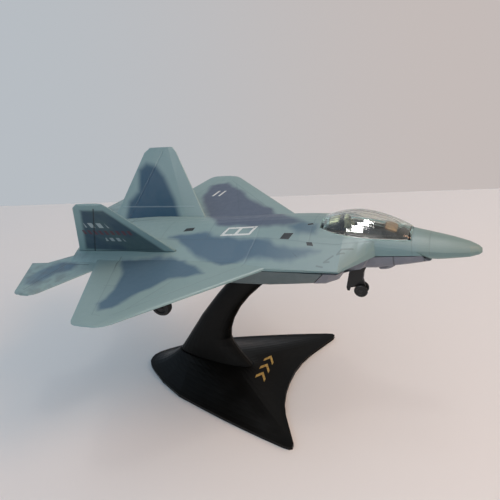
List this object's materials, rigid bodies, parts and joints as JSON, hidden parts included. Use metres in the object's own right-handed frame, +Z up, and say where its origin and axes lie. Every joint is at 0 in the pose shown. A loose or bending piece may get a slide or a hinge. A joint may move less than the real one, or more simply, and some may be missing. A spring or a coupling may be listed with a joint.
{
  "type": "toy airplane",
  "caption": "Die-cast twin-tail toy jet with clear canopy, plastic belly and folding landing gear, held nose-up on the arm of a black two-piece display stand.",
  "frame": {"origin": "middle of the whole model's footprint, on the surface that the stand rests on", "axes": "+X towards the aeroplane's nose, +Y to its port side, +Z up; X-Z is the plane of symmetry"},
  "size_m": [0.1371, 0.0968, 0.0763],
  "materials": {
    "airframe_paint": "satin spray paint on cast zinc, pale grey-green with soft-edged blue-grey patches",
    "belly_rear_plastic": "satin moulded plastic, dark grey-green",
    "belly_front_plastic": "satin moulded plastic, mauve-grey",
    "canopy_clear": "clear moulded plastic, faintly smoky, polished",
    "cockpit_black": "satin black",
    "seat_plastic": "satin olive",
    "nozzle_plastic": "satin dark grey",
    "gear_black": "satin black",
    "wheel_black": "satin black",
    "stand_black": "semi-gloss black moulded plastic",
    "steel": "plated steel"
  },
  "bodies": {
    "stand": {"stand_base": "stand_black", "stand_arm": "stand_black"},
    "airframe": {"upper_body": "airframe_paint", "fin_left": "airframe_paint", "fin_right": "airframe_paint", "belly_rear": "belly_rear_plastic", "belly_front": "belly_front_plastic", "canopy": "canopy_clear", "cockpit_tub": "cockpit_black", "pilot_seat": "seat_plastic", "exhaust_nozzles": "nozzle_plastic", "screw_front": "steel", "screw_middle": "steel", "screw_rear": "steel", "nose_hinge_pin": "steel", "main_hinge_pin_left": "steel", "main_hinge_pin_right": "steel"},
    "nose_gear": {"nose_leg": "gear_black"},
    "nose_wheels": {"nose_axle": "steel", "nose_wheel_left": "wheel_black", "nose_wheel_right": "wheel_black"},
    "main_gear_left": {"main_leg_left": "gear_black", "main_axle_left": "steel"},
    "main_wheel_left": {"main_wheel_left": "wheel_black"},
    "main_gear_right": {"main_leg_right": "gear_black", "main_axle_right": "steel"},
    "main_wheel_right": {"main_wheel_right": "wheel_black"}
  },
  "joints": [
    {"name": "lift_off", "type": "slide", "parent": "stand", "child": "airframe", "axis": [-0.0715, 0, 0.9974], "range_m": [0, 0.012]},
    {"name": "nose_gear_fold", "type": "hinge", "parent": "airframe", "child": "nose_gear", "pos_m": [0.03748, 0, 0.05301], "axis": [0, 1, 0], "range_deg": [0, 88]},
    {"name": "nose_wheels_spin", "type": "hinge", "parent": "nose_gear", "child": "nose_wheels", "pos_m": [0.03644, 0, 0.04231], "axis": [0, 1, 0], "continuous": true},
    {"name": "main_gear_left_fold", "type": "hinge", "parent": "airframe", "child": "main_gear_left", "pos_m": [-0.02315, 0.0148, 0.05057], "axis": [-0.9974, 0, -0.0715], "range_deg": [0, 88]},
    {"name": "main_wheel_left_spin", "type": "hinge", "parent": "main_gear_left", "child": "main_wheel_left", "pos_m": [-0.02236, 0.0168, 0.03945], "axis": [0, 1, 0], "continuous": true},
    {"name": "main_gear_right_fold", "type": "hinge", "parent": "airframe", "child": "main_gear_right", "pos_m": [-0.02315, -0.0148, 0.05057], "axis": [0.9974, 0, 0.0715], "range_deg": [0, 88]},
    {"name": "main_wheel_right_spin", "type": "hinge", "parent": "main_gear_right", "child": "main_wheel_right", "pos_m": [-0.02236, -0.0168, 0.03945], "axis": [0, 1, 0], "continuous": true}
  ]
}
